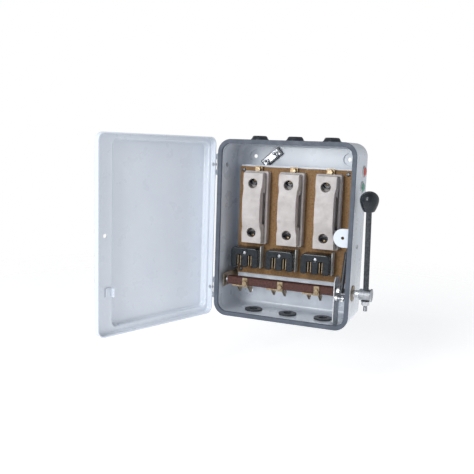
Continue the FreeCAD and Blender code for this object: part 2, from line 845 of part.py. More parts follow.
def make_carrier_blades(number, x):
    """The two knife blades under the carrier's ends."""
    blades = []
    back = -size("base_front") - size("carrier_gap")
    thick = size("blade_thickness") / 2
    for z in blade_levels:
        blades.append(block((x - thick, back, z - 5), (x + thick, back + 10, z + 5)))
    return node(set_of(blades), "carrier_blades_%d" % number)


def make_fuse_wire(number, x):
    """The tinned wire stretched along the carrier's underside between the blades."""
    level = size("fuse_middle") - size("grip_half_length") - 4
    wire = stick("Z", 0.6, (x + 3, -size("base_front") - size("carrier_gap") - 2.5, level),
                 2 * size("grip_half_length") + 8)
    return node(wire, "fuse_wire_%d" % number)


# ---------------------------------------------------------------- switch poles

def make_arc_shield(number, x):
    """A moulded hood with two slots that the moving blades pass through."""
    body = new_body("arc_shield")
    side = size("shield_half_width")
    top = -size("shield_top")
    bottom = -size("shield_bottom")
    outline = sketch_on(body, "XZ_Plane", board_front)
    rectangle(outline, x - side, bottom, x + side, top)
    pad(body, outline, size("shield_front") - board_front)
    near_top = both(runs_along(Vector(0, 1, 0)), lambda edge: edge.BoundBox.ZMin > float(top) - 1)
    fillet(body, 7.0, near_top)
    slots = sketch_on(body, "XZ_Plane", size("shield_front"))
    reach = size("slot_half_width")
    for direction in (-1, 1):
        middle = x + direction * size("contact_half_span")
        rectangle(slots, middle - reach, bottom - 1, middle + reach, -size("slot_top"))
    pocket(body, slots, size("shield_front") - board_front + 1)
    at_bottom = both(runs_along(Vector(0, 1, 0)), lambda edge: abs(edge.BoundBox.ZMin - bottom) < 0.1)
    fillet(body, 3.0, at_bottom)
    fillet(body, 1.5, both(lies_at("Y", -float(size("shield_front"))), lambda edge: edge.Length > 1.6))
    screw_well = sketch_on(body, "XZ_Plane", size("shield_front"))
    circle(screw_well, x, top - 8.5, 3.6)
    pocket(body, screw_well, 3)
    return node(body, "arc_shield_%d" % number)


def make_shield_screws():
    screws = []
    for x in shield_xs:
        level = -size("shield_top") - 8.5
        head = stick("Y", 3.3, (x, -size("shield_front") + 0.8, level), 2.2)
        slot = block((x - 4, -size("shield_front") + 0.5, level - 0.5),
                     (x + 4, -size("shield_front") + 1.7, level + 0.5))
        screws.append(cut(head, slot))
    node(set_of(screws), "shield_screws")


def make_fixed_jaws():
    """Pairs of brass leaves in the hoods' slots that the moving blades close into."""
    jaws = []
    leaf = 1.2
    gap = size("contact_thickness") / 2 + 0.1
    foot_front = -board_front - 5
    for x in shield_xs:
        for direction in (-1, 1):
            middle = x + direction * size("contact_half_span")
            foot = block((middle - gap - leaf, foot_front, -62.0),
                         (middle + gap + leaf, -board_front, -47.0))
            left = block((middle - gap - leaf, -60.0, -64.0), (middle - gap, foot_front + 1, -47.0))
            right = block((middle + gap, -60.0, -64.0), (middle + gap + leaf, foot_front + 1, -47.0))
            jaws.append(fused(foot, left, right))
    node(set_of(jaws), "fixed_jaws")


def make_phase_barriers():
    """Fibre sheets that stand on the board between neighbouring poles."""
    barriers = []
    for x in shield_xs:
        left = x + size("shield_half_width") + 0.6
        barriers.append(block((left, -53.0, -68.0), (left + 1.5, -board_front, -31.0)))
    node(set_of(barriers), "phase_barriers")


# ---------------------------------------------------------------- bearings of the contact bar

def make_bar_bracket():
    """The left bearing of the contact bar: a folded strip fixed to the back wall."""
    left = -103.0
    plate = block((left, -80.0, -99.0), (left + steel, -back_inside, -77.0))
    foot = block((left, -back_inside - steel, -99.0), (left + 13, -back_inside, -90.0))
    bore = stick("X", 3.0 + size("running_gap"), (left - 1, gear_y, gear_z), 5)
    return node(cut(fused(plate, foot), bore), "bar_bracket")


def make_mechanism_plate():
    """The right side plate that steadies the shaft; its foot stands on the floor of the box."""
    left = 86.0
    floor = steel - half_height
    body = new_body("mechanism_plate")
    outline = sketch_on(body, "YZ_Plane", left)
    polygon(outline, [(-48.0, floor), (-84.0, floor), (-84.0, -72.0), (-78.0, -64.0), (-58.0, -64.0),
                      (-48.0, -76.0)])
    pad(body, outline, steel)
    foot = sketch_on(body, "XY_Plane", floor)
    rectangle(foot, left - 8, -84.0, left + steel, -48.0)
    pad(body, foot, steel)
    bore = sketch_on(body, "YZ_Plane", left - 1)
    circle(bore, gear_y, gear_z, size("shaft_radius") + size("running_gap"))
    pocket(body, bore, 4, along_normal=True)
    return node(body, "mechanism_plate")


def make_spring_anchor():
    """The stud in the right wall that the fixed end of the toggle spring hooks on."""
    y = -size("anchor_depth")
    z = -size("anchor_height")
    tip = size("spring_plane") - 5
    shank = stick("X", 2.0, (tip, y, z), half_width - tip)
    collar = stick("X", 4.5, (inner_wall - 6, y, z), 6)
    head = stick("X", 3.6, (tip - 1.5, y, z), 1.5)
    outer_head = stick("X", 3.5, (half_width, y, z), 1.2)
    return node(fused(shank, collar, head, outer_head), "spring_anchor")


# ---------------------------------------------------------------- handle body: shaft, crank, lever, knob

gear_point = Vector(0, gear_y, gear_z)
across = Vector(1, 0, 0)
lever_turn = Rotation(across, float(size("lever_tilt")))


def make_operating_shaft():
    """A round bar with a square tongue that drives the contact bar from inside its end."""
    start = size("bar_right") + 0.3
    finish = size("lever_plane") - size("lever_radius") - 0.3
    round_part = stick("X", size("shaft_radius"), (start, gear_y, gear_z), finish - start)
    tongue = block((start - 8, gear_y - 3.5, gear_z - 3.5), (start, gear_y + 3.5, gear_z + 3.5))
    return node(fused(round_part, tongue), "operating_shaft")


def lever_place(distance):
    """The point of the lever's middle line at a distance from the shaft's axis."""
    start = Vector(size("lever_plane"), gear_y, gear_z)
    return start + lever_turn.multVec(Vector(0, 0, float(distance)))


def make_handle_hub():
    """A turned cross hub: the shaft enters its inner end and the lever goes through it."""
    half = size("hub_half_length")
    left = size("lever_plane") - half
    barrel = stick("X", size("hub_radius"), (left, gear_y, gear_z), 2 * half)
    collar = stick("X", size("hub_radius") + 1.2, (left + 2 * half - 2.4, gear_y, gear_z), 2.4)
    shaft_end = half + 1 - size("lever_radius") - 0.2
    shaft_hole = stick("X", size("shaft_radius"), (left - 1, gear_y, gear_z), shaft_end)
    lever_hole = stick("Z", size("lever_radius"), (size("lever_plane"), gear_y, gear_z - 15), 30)
    hub_middle = Vector(size("lever_plane"), gear_y, gear_z)
    lever_hole = swung(lever_hole, hub_middle, across, size("lever_tilt"))
    return node(cut(fused(barrel, collar), shaft_hole, lever_hole), "handle_hub")


def make_handle_rod():
    """The lever: a painted rod with a thinner threaded end below the hub."""
    thin = 3.2
    step = size("hub_radius") - 0.2
    top = size("lever_length") - 2
    profile = [(0.0, -27.0), (thin - 0.6, -27.0), (thin, -26.0), (thin, -step),
               (size("lever_radius"), -step), (size("lever_radius"), top), (0.0, top)]
    return node(turned(profile, Placement(lever_place(0), lever_turn)), "handle_rod")


def make_handle_knob():
    """A moulded knob with a domed top and sides that taper to its flat underside."""
    wide = size("knob_radius")
    half = size("knob_half_height")
    bore = size("lever_radius")
    profile = [(0.0, half), (wide * 0.38, half - 0.9), (wide * 0.72, half - 3.9), (wide * 0.93, half - 8.0),
               (wide, half - 12.5), (wide * 0.96, half - 17.5), (wide * 0.65, -half), (bore, -half),
               (bore, -2.0), (0.0, -2.0)]
    return node(turned(profile, Placement(lever_place(size("lever_length")), lever_turn)), "handle_knob")


def make_lever_nut():
    """The washer and hexagon nut on the lever's threaded end."""
    seat = size("hub_radius") + 0.4
    thread = 3.2
    washer = stick("Z", 7.0, (0, 0, -seat - 1.5), 1.5)
    nut = hexagon("Z", 11.0, (0, 0, -seat - 7.0), 5.5)
    bore = stick("Z", thread, (0, 0, -seat - 8), 9)
    made = cut(fused(washer, nut), bore)
    made.Placement = Placement(lever_place(0), lever_turn)
    return node(made, "lever_nut")


def crank_pin_centre(x):
    angle = math.radians(float(size("crank_rest_angle")))
    reach = float(size("crank_reach"))
    return Vector(x, gear_y - reach * math.cos(angle), gear_z - reach * math.sin(angle))


def make_crank_arm():
    """A steel arm on the shaft, made pointing to the front and then turned to its resting angle."""
    left = size("crank_left")
    thick = size("crank_thickness")
    reach = size("crank_reach")
    boss = stick("X", 10.0, (left, gear_y, gear_z), thick)
    web = block((left, gear_y - reach, gear_z - 5), (left + thick, gear_y, gear_z + 5))
    tip = stick("X", 5.0, (left, gear_y - reach, gear_z), thick)
    shaft_hole = stick("X", size("shaft_radius"), (left - 1, gear_y, gear_z), thick + 2)
    pin_hole = stick("X", 2.4, (left - 1, gear_y - reach, gear_z), thick + 2)
    arm = cut(fused(boss, web, tip), shaft_hole, pin_hole)
    return node(swung(arm, gear_point, across, size("crank_rest_angle")), "crank_arm")


def make_crank_pin():
    left = float(size("crank_left"))
    centre = crank_pin_centre(left)
    shank = stick("X", 2.4, (left, centre.y, centre.z), 12)
    head = stick("X", 4.0, (left + 12, centre.y, centre.z), 1.5)
    return node(fused(shank, head), "crank_pin")


# ---------------------------------------------------------------- contact bar body

def make_contact_bar():
    """The insulating bar across the box, with bevelled edges and a square socket for the tongue."""
    body = new_body("contact_bar")
    half = size("bar_half")
    outline = sketch_on(body, "YZ_Plane", -size("bar_left"))
    rectangle(outline, gear_y - half, gear_z - half, gear_y + half, gear_z + half)
    pad(body, outline, size("bar_left") + size("bar_right"))
    fillet(body, 1.0, runs_along(across), "Chamfer")
    socket = sketch_on(body, "YZ_Plane", size("bar_right") - 9)
    rectangle(socket, gear_y - 3.6, gear_z - 3.6, gear_y + 3.6, gear_z + 3.6)
    pocket(body, socket, 10, along_normal=True)
    pivot_hole = sketch_on(body, "YZ_Plane", -size("bar_left") + 10)
    circle(pivot_hole, gear_y, gear_z, 3.0)
    pocket(body, pivot_hole, 11)
    return node(body, "contact_bar")


def make_bar_pivot():
    """The pin in the bar's left end, with a washer between the bar and its bracket."""
    shank = stick("X", 3.0, (-106.0, gear_y, gear_z), 18)
    washer = stick("X", 6.0, (-size("bar_left") - 1.5, gear_y, gear_z), 1.5)
    return node(fused(shank, washer), "bar_pivot")


def make_moving_contact(number, x):
    """A brass bridge: a strap under the bar and two blades that swing up into the jaws."""
    half = size("bar_half")
    thick = size("contact_thickness") / 2
    reach = size("contact_reach")
    span = size("contact_half_span")
    under = gear_z - half
    strap = block((x - span - 4.5, gear_y - half, under - 2.5), (x + span + 4.5, gear_y + half, under))
    blades = []
    for direction in (-1, 1):
        middle = x + direction * span
        blade = block((middle - thick, gear_y + 2, gear_z - 4.5),
                      (middle + thick, gear_y + reach, gear_z + 4.5))
        blades.append(swung(blade, gear_point, across, -size("contact_rest_angle")))
    bar_space = block((x - 20, gear_y - half, under), (x + 20, gear_y + half, gear_z + half))
    return node(cut(fused(strap, *blades), bar_space), "moving_contact_%d" % number)


def make_contact_clamps():
    """Front clamps with screws that hold the bridges to the bar."""
    clamps = []
    half = size("bar_half")
    face = gear_y - half
    for x in shield_xs:
        middle = x + size("contact_half_span")
        plate = block((middle - 4.5, face - 2.2, gear_z - half - 2.5),
                      (middle + 4.5, face, gear_z + half))
        head = hexagon("Y", 6.5, (middle, face - 5.0, gear_z - 2), 3.0)
        clamps.append(fused(plate, head))
    node(set_of(clamps), "contact_clamps")


def make_toggle_spring():
    """The over-centre tension spring as a closed tube of its coils, with a loop at each end."""
    plane = float(size("spring_plane"))
    top = Vector(plane, -size("anchor_depth"), -size("anchor_height"))
    bottom = crank_pin_centre(plane)
    length = (bottom - top).Length
    loop = 3.9
    wire = 0.8
    coil_start = 2 * loop
    coils = stick("Z", size("spring_radius"), (0, 0, coil_start), length - 2 * coil_start)
    core_length = length - 2 * coil_start + 2
    core = stick("Z", size("spring_radius") - 2 * wire, (0, 0, coil_start - 1), core_length)
    top_loop = ring("X", loop, wire, (0, 0, 0.6))
    bottom_loop = ring("X", loop, wire, (0, 0, length - 0.6))
    top_shank = stick("Z", wire, (0, 0, loop + 0.2), 5.0)
    bottom_shank = stick("Z", wire, (0, 0, length - loop - 5.2), 5.0)
    top_bridge = block((-wire, -0.8, coil_start), (wire, size("spring_radius") - 0.3, coil_start + 1.4))
    bottom_bridge = block((-wire, -0.8, length - coil_start - 1.4),
                          (wire, size("spring_radius") - 0.3, length - coil_start))
    spring = fused(cut(coils, core), top_loop, bottom_loop, top_shank, bottom_shank,
                   top_bridge, bottom_bridge)
    spring.Placement = Placement(top, Rotation(up, bottom - top))
    return node(spring, "toggle_spring")


# ---------------------------------------------------------------- neutral link on the back wall

def make_neutral_link():
    """A link between two studs on an insulating block, set aslant in the top cable space."""
    wall = -back_inside
    centre = Vector(-50.0, 0, 117.0)
    half = 10.0
    slant = 40.0
    foot = block((centre.x - 19, wall - 7, centre.z - 7), (centre.x + 19, wall, centre.z + 7))
    strip = block((centre.x - 16, wall - 9, centre.z - 5), (centre.x + 16, wall - 7, centre.z + 5))
    stud_holes = [stick("Y", 2.5, (centre.x + side * half, wall - 10, centre.z), 12) for side in (-1, 1)]
    studs = []
    for side in (-1, 1):
        x = centre.x + side * half
        stud = stick("Y", 2.5, (x, wall - 20, centre.z), 20)
        washer = stick("Y", 5.5, (x, wall - 10.4, centre.z), 1.4)
        nut = hexagon("Y", 8.0, (x, wall - 14.8, centre.z), 4.4)
        studs.append(fused(stud, washer, nut))
    pieces = {
        "neutral_block": cut(foot, fused(*stud_holes)),
        "neutral_strip": cut(strip, fused(*stud_holes)),
        "neutral_studs": set_of(studs),
    }
    for name, piece in pieces.items():
        swung(node(piece, name), centre, Vector(0, 1, 0), -slant)


# ---------------------------------------------------------------- build, check and write

def build():
    make_box_shell()
    make_rim_gasket()
    make_cable_bushes()
    make_markers()
    make_shaft_bush()
    make_lid_catch()
    make_box_hinges()
    make_lid_shell()
    make_lid_hinges()
    make_lid_interlock()
    make_mounting_tray()
    make_base_board()
    make_board_screws()
    for number, x in enumerate(fuse_xs, start=1):
        make_fuse_base(number, x)
        make_fuse_clips(number, x)
        make_fuse_carrier(number, x)
        make_carrier_blades(number, x)
        make_fuse_wire(number, x)
    make_line_terminals()
    for number, x in enumerate(shield_xs, start=1):
        make_arc_shield(number, x)
        make_moving_contact(number, x)
    make_shield_screws()
    make_fixed_jaws()
    make_phase_barriers()
    make_bar_bracket()
    make_mechanism_plate()
    make_spring_anchor()
    make_operating_shaft()
    make_handle_hub()
    make_handle_rod()
    make_handle_knob()
    make_lever_nut()
    make_crank_arm()
    make_crank_pin()
    make_contact_bar()
    make_bar_pivot()
    make_contact_clamps()
    make_toggle_spring()
    make_neutral_link()
    document.recompute()


def check():
    for thing in document.Objects:
        if "Invalid" in thing.State or "Error" in thing.State:
            raise RuntimeError("%s (%s) failed" % (thing.Name, thing.Label))
    for thing in nodes:
        if thing.Shape.isNull() or not thing.Shape.isValid() or not thing.Shape.Solids:
            raise RuntimeError("%s has no valid solid" % thing.Label)


build()
check()
for finished in nodes:
    finished.Shape.exportStep("parts/%s.step" % finished.Label)
print("%d sub-parts written" % len(nodes))
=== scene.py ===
import json
import math

import bmesh
import bpy
from mathutils import Matrix, Vector, noise


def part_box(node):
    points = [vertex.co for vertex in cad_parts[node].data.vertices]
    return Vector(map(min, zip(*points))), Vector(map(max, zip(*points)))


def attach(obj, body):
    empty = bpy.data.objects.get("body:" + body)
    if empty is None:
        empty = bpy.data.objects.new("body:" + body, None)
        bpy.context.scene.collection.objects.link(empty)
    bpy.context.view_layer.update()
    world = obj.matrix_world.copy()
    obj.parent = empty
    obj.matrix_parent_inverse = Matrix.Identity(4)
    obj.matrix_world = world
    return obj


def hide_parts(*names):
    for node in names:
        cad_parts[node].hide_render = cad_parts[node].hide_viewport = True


# A three-pole fused disconnect box with its lid open.
# Metres, in the CAD frame: +X right, +Y into the wall, +Z up; the front faces -Y.

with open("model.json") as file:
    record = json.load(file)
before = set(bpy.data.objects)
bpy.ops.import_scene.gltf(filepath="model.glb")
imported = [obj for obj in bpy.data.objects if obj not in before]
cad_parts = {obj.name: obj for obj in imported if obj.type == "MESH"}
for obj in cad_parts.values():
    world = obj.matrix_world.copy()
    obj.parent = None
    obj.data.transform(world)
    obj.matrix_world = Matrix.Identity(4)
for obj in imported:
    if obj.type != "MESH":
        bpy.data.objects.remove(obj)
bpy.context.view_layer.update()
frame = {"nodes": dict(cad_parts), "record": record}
nodes = frame["nodes"]
mm = 0.001
poles = (1, 2, 3)
noise.seed_set(7)
front_way = Vector((0.0, -1.0, 0.0))
right_way = Vector((1.0, 0.0, 0.0))


# ---------------------------------------------------------------- camera, light and floor

camera_place = Vector((0.3057, -1.0377, 0.1326))
camera_yaw = math.radians(-21.977)
camera_pitch = math.radians(-8.092)
camera_roll = math.radians(1.896)
camera_lens = 48.08
sensor_width = 36.0

floor_height = -0.26
floor_reach = 1.4
floor_fade = (0.35, 0.95 * floor_reach)
floor_tones = (0.86, 0.90)
floor_glow = 0.45

wall_tint = (0.95, 0.975, 1.0)
left_wall_light = 0.80
right_wall_light = 1.00
room_light = 0.24

key_tint = (0.95, 0.98, 1.0)
key_azimuth = math.radians(-14.0)
key_distance = 1.6
key_width = 0.5
key_target = Vector((0.0, -0.05, 0.0))
low_key_lift = math.radians(10.0)
low_key_power = 9.6
high_key_lift = math.radians(35.0)
high_key_power = 8.2


def make_camera():
    data = bpy.data.cameras.new("camera")
    data.lens = camera_lens
    data.sensor_width = sensor_width
    camera = bpy.data.objects.new("camera", data)
    bpy.context.collection.objects.link(camera)
    ahead = Vector((math.sin(camera_yaw) * math.cos(camera_pitch),
                    math.cos(camera_yaw) * math.cos(camera_pitch),
                    math.sin(camera_pitch)))
    level = Vector((math.cos(camera_yaw), -math.sin(camera_yaw), 0.0))
    upright = level.cross(ahead)
    right = level * math.cos(camera_roll) + upright * math.sin(camera_roll)
    up = upright * math.cos(camera_roll) - level * math.sin(camera_roll)
    turn = Matrix((right, up, -ahead)).transposed().to_4x4()
    camera.matrix_world = Matrix.Translation(camera_place) @ turn
    bpy.context.scene.camera = camera


def make_key_light(name, lift, power):
    """A soft round light in front of the box, at an angle above the level of its middle."""
    data = bpy.data.lights.new(name, "AREA")
    data.shape = "DISK"
    data.size = key_width
    data.energy = power
    data.color = key_tint
    light = bpy.data.objects.new(name, data)
    bpy.context.collection.objects.link(light)
    way = Vector((math.sin(key_azimuth) * math.cos(lift),
                  -math.cos(key_azimuth) * math.cos(lift),
                  math.sin(lift)))
    aim = (-way).to_track_quat("-Z", "Y").to_matrix().to_4x4()
    light.matrix_world = Matrix.Translation(key_target + key_distance * way) @ aim


def make_world():
    """White where the camera sees it; it lights the object from soft walls on the left and the right."""
    world = bpy.data.worlds.new("studio")
    bpy.context.scene.world = world
    world.use_nodes = True
    tree = world.node_tree
    tree.nodes.clear()
    output = tree.nodes.new("ShaderNodeOutputWorld")
    mix = tree.nodes.new("ShaderNodeMixShader")
    path = tree.nodes.new("ShaderNodeLightPath")
    seen = tree.nodes.new("ShaderNodeBackground")
    walls = tree.nodes.new("ShaderNodeBackground")
    seen.inputs["Color"].default_value = (1.0, 1.0, 1.0, 1.0)
    direction = tree.nodes.new("ShaderNodeTexCoord")
    parts = tree.nodes.new("ShaderNodeSeparateXYZ")
    tree.links.new(direction.outputs["Generated"], parts.inputs["Vector"])
    across = spread(tree, parts.outputs["X"], (-1.0, 1.0))
    brightness = tree.nodes.new("ShaderNodeValToRGB")
    stops = brightness.color_ramp.elements
    stops.new(0.5)
    for stop, strength in zip(stops, (left_wall_light, room_light, right_wall_light)):
        stop.color = (*[strength * part for part in wall_tint], 1.0)
    tree.links.new(across, brightness.inputs["Fac"])
    tree.links.new(brightness.outputs["Color"], walls.inputs["Color"])
    tree.links.new(path.outputs["Is Camera Ray"], mix.inputs["Fac"])
    tree.links.new(walls.outputs["Background"], mix.inputs[1])
    tree.links.new(seen.outputs["Background"], mix.inputs[2])
    tree.links.new(mix.outputs["Shader"], output.inputs["Surface"])


def make_floor():
    """A pale round floor that fades into the white surroundings."""
    made = bmesh.new()
    bmesh.ops.create_circle(made, cap_ends=True, segments=96, radius=floor_reach)
    floor = from_bmesh("floor", made)
    floor.data.transform(Matrix.Translation((0.0, 0.0, floor_height)))
    look = bpy.data.materials.new("studio_floor")
    look.use_nodes = True
    tree = look.node_tree
    surface = tree.nodes["Principled BSDF"]
    where = tree.nodes.new("ShaderNodeTexCoord").outputs["Object"]
    tone = spread(tree, value_noise(tree, where, 4.0), (0.3, 0.7), floor_tones)
    tree.links.new(tone, surface.inputs["Base Color"])
    surface.inputs["Roughness"].default_value = 0.9
    surface.inputs["Specular IOR Level"].default_value = 0.1
    surface.inputs["Emission Color"].default_value = (1.0, 1.0, 1.0, 1.0)
    surface.inputs["Emission Strength"].default_value = floor_glow
    distance = tree.nodes.new("ShaderNodeVectorMath")
    distance.operation = "DISTANCE"
    distance.inputs[1].default_value = (0.0, 0.0, floor_height)
    tree.links.new(where, distance.inputs[0])
    solid = spread(tree, distance.outputs["Value"], floor_fade, (1.0, 0.0))
    tree.links.new(solid, surface.inputs["Alpha"])
    floor.data.materials.append(look)


def make_studio():
    bpy.context.scene.view_settings.view_transform = "Standard"
    make_world()
    make_floor()
    make_key_light("low_key", low_key_lift, low_key_power)
    make_key_light("high_key", high_key_lift, high_key_power)


# ---------------------------------------------------------------- materials

# The part of a noise's or a measure's range that each effect of a finish spreads over.
mottle_band = (0.32, 0.68)
spot_band = (0.58, 0.72)
edge_band = (0.52, 0.60)
broken_band = (0.35, 0.60)
crease_band = (0.35, 0.90)
patch_band = (0.30, 0.70)

broken_scale = 350.0
crease_reach = 4 * mm
# How far the painted shade goes towards its colour in the deepest hollows.
deepest_painted_shade = 0.65
patch_ratio = 2.3


def value_noise(tree, where, scale, detail=4.0, roughness=0.55, distortion=0.0):
    made = tree.nodes.new("ShaderNodeTexNoise")
    made.inputs["Scale"].default_value = scale
    made.inputs["Detail"].default_value = detail
    made.inputs["Roughness"].default_value = roughness
    made.inputs["Distortion"].default_value = distortion
    tree.links.new(where, made.inputs["Vector"])
    return made.outputs["Fac"]


def spread(tree, value, band, to=(0.0, 1.0)):
    """Maps one band of values onto another."""
    made = tree.nodes.new("ShaderNodeMapRange")
    for name, number in zip(("From Min", "From Max", "To Min", "To Max"), (*band, *to)):
        made.inputs[name].default_value = number
    tree.links.new(value, made.inputs["Value"])
    return made.outputs["Result"]


def blended(tree, factor, first, second):
    """Mixes two colours, each a socket or three numbers."""
    made = tree.nodes.new("ShaderNodeMix")
    made.data_type = "RGBA"
    tree.links.new(factor, made.inputs["Factor"])
    for slot_number, colour in ((6, first), (7, second)):
        if isinstance(colour, tuple):
            made.inputs[slot_number].default_value = (*colour, 1.0)
        else:
            tree.links.new(colour, made.inputs[slot_number])
    return made.outputs[2]


def finish_of(name, tones, tone_scale, rough, grain_scale, grain_height, metal=0.0, coat=0.0,
              stretch=(1.0, 1.0, 1.0), spots=None, spot_scale=60.0, spot_amount=0.4, worn=None,
              worn_amount=0.6, painted_hollow_shade=None, specular=0.5):
    """One procedural surface: mottled tones, spots, rubbed edges, painted shade in hollows, grain and
    roughness.
    """
    look = bpy.data.materials.new(name)
    look.use_nodes = True
    tree = look.node_tree
    surface = tree.nodes["Principled BSDF"]
    where = tree.nodes.new("ShaderNodeTexCoord").outputs["Object"]
    mapping = tree.nodes.new("ShaderNodeMapping")
    mapping.inputs["Scale"].default_value = stretch
    tree.links.new(where, mapping.inputs["Vector"])
    stretched = mapping.outputs["Vector"]

    mottle = spread(tree, value_noise(tree, stretched, tone_scale, 5.0), mottle_band)
    colour = blended(tree, mottle, tones[0], tones[1])
    if spots:
        cloud = value_noise(tree, where, spot_scale, 6.0, 0.7, 0.6)
        colour = blended(tree, spread(tree, cloud, spot_band, (0.0, spot_amount)), colour, spots)
    if worn:
        edge = tree.nodes.new("ShaderNodeNewGeometry").outputs["Pointiness"]
        rubbed = spread(tree, edge, edge_band, (0.0, worn_amount))
        gaps = spread(tree, value_noise(tree, where, broken_scale), broken_band, (0.2, 1.0))
        broken = tree.nodes.new("ShaderNodeMath")
        broken.operation = "MULTIPLY"
        tree.links.new(rubbed, broken.inputs[0])
        tree.links.new(gaps, broken.inputs[1])
        colour = blended(tree, broken.outputs["Value"], colour, worn)
    # Painted shade: ambient occlusion darkens the colour towards the hollow-shade colour in creases and
    # recesses.
    if painted_hollow_shade:
        crease = tree.nodes.new("ShaderNodeAmbientOcclusion")
        crease.samples = 4
        crease.inputs["Distance"].default_value = crease_reach
        painted_shade = spread(tree, crease.outputs["AO"], crease_band, (deepest_painted_shade, 0.0))
        colour = blended(tree, painted_shade, colour, painted_hollow_shade)
    tree.links.new(colour, surface.inputs["Base Color"])

    patches = value_noise(tree, stretched, tone_scale * patch_ratio)
    tree.links.new(spread(tree, patches, patch_band, rough), surface.inputs["Roughness"])
    bump = tree.nodes.new("ShaderNodeBump")
    bump.inputs["Strength"].default_value = 1.0
    bump.inputs["Distance"].default_value = grain_height
    tree.links.new(value_noise(tree, stretched, grain_scale, 3.0, 0.5), bump.inputs["Height"])
    tree.links.new(bump.outputs["Normal"], surface.inputs["Normal"])
    surface.inputs["Metallic"].default_value = metal
    surface.inputs["Coat Weight"].default_value = coat
    surface.inputs["Coat Roughness"].default_value = 0.12
    surface.inputs["Specular IOR Level"].default_value = specular
    return look


